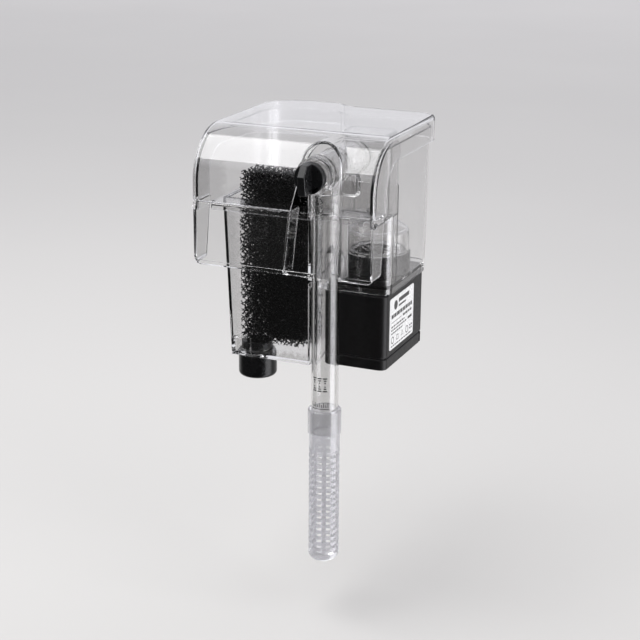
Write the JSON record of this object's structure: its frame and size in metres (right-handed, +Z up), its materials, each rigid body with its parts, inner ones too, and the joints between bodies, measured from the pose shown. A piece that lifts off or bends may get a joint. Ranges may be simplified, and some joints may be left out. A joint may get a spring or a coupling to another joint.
{
  "type": "hang on back aquarium filter",
  "caption": "Clear hang-on-back aquarium filter: curved lift-off hood, foam chamber, side pump with black motor, intake pipe with flow knob and slotted strainer.",
  "frame": {"origin": "middle of the rim seat: mid-width of the hood, middle of the gap for the tank's rim, on the underside of the bridge that sits on the rim", "axes": "+Z up, -Y towards the inside of the tank, +X to the pump side"},
  "size_m": [0.1002, 0.1307, 0.2252],
  "materials": {
    "clear_body": "crystal-clear moulded styrene, polished, faint violet edge",
    "clear_hood": "crystal-clear moulded styrene, polished",
    "clear_pipe": "clear moulded pipe and fittings, polished",
    "black_case": "black moulded plastic, satin with a very fine spark texture",
    "black_knob": "black moulded plastic, semi-gloss",
    "black_cap": "black moulded plastic, semi-gloss",
    "foam": "coarse open-cell filter foam, black",
    "seal_rubber": "soft black rubber",
    "rotor_plastic": "white acetal",
    "magnet": "grey ferrite, ground",
    "ceramic": "white ceramic, polished",
    "screw_steel": "stainless steel",
    "laminations": "stacked electrical steel sheets",
    "bobbin": "cream nylon",
    "copper": "enamelled copper wire",
    "cord": "black flexible PVC",
    "label": null
  },
  "bodies": {
    "filter_body": {"tank_body": "clear_body", "intake_head": "clear_pipe", "down_duct": "clear_pipe", "duct_seal": "seal_rubber", "spindle_o_ring": "seal_rubber", "impeller_cover": "clear_pipe", "impeller_shaft": "ceramic", "shaft_bush_upper": "seal_rubber", "shaft_bush_lower": "seal_rubber", "motor_lock_ring": "black_knob", "motor_seal": "seal_rubber", "motor_housing": "black_case", "motor_base": "black_case", "base_screws": "screw_steel", "stator_core": "laminations", "coil_bobbin": "bobbin", "stator_coil": "copper", "power_cord": "cord", "cord_gland": "seal_rubber", "rating_label": "label", "filter_sponge": "foam", "drain_fitting": "black_cap"},
    "lid": {"lid": "clear_hood"},
    "flow_valve": {"flow_knob": "black_knob", "valve_drum": "clear_pipe"},
    "intake_pipe": {"intake_tube": "clear_pipe"},
    "strainer": {"intake_strainer": "clear_pipe"},
    "rotor": {"impeller": "rotor_plastic", "rotor_magnet": "magnet"},
    "cap_seal": {"drain_seal": "seal_rubber"},
    "screw_cap": {"drain_cap": "black_cap"}
  },
  "joints": [
    {"name": "lid_lift", "type": "slide", "parent": "filter_body", "child": "lid", "axis": [0, 0, 1], "range_m": [0, 0.07]},
    {"name": "flow_control", "type": "hinge", "parent": "filter_body", "child": "flow_valve", "pos_m": [0.0204, -0.03, 0.0254], "axis": [0, 1, 0], "range_deg": [0, 90]},
    {"name": "impeller_spin", "type": "hinge", "parent": "filter_body", "child": "rotor", "pos_m": [0.0296, 0.035, -0.05], "axis": [0, 0, 1], "continuous": true},
    {"name": "tube_pull", "type": "slide", "parent": "filter_body", "child": "intake_pipe", "axis": [0, 0, -1], "range_m": [0, 0.012]},
    {"name": "strainer_pull", "type": "slide", "parent": "intake_pipe", "child": "strainer", "axis": [0, 0, -1], "range_m": [0, 0.012]},
    {"name": "cap_travel", "type": "slide", "parent": "filter_body", "child": "cap_seal", "axis": [0, 0, -1], "range_m": [0, 0.006]},
    {"name": "cap_turn", "type": "hinge", "parent": "cap_seal", "child": "screw_cap", "pos_m": [-0.0316, 0.0176, -0.09], "axis": [0, 0, -1], "range_deg": [0, 1080]}
  ],
  "couplings": [
    {"joint": "cap_travel", "follows": "cap_turn", "m_per_rad": 0.00031831}
  ]
}
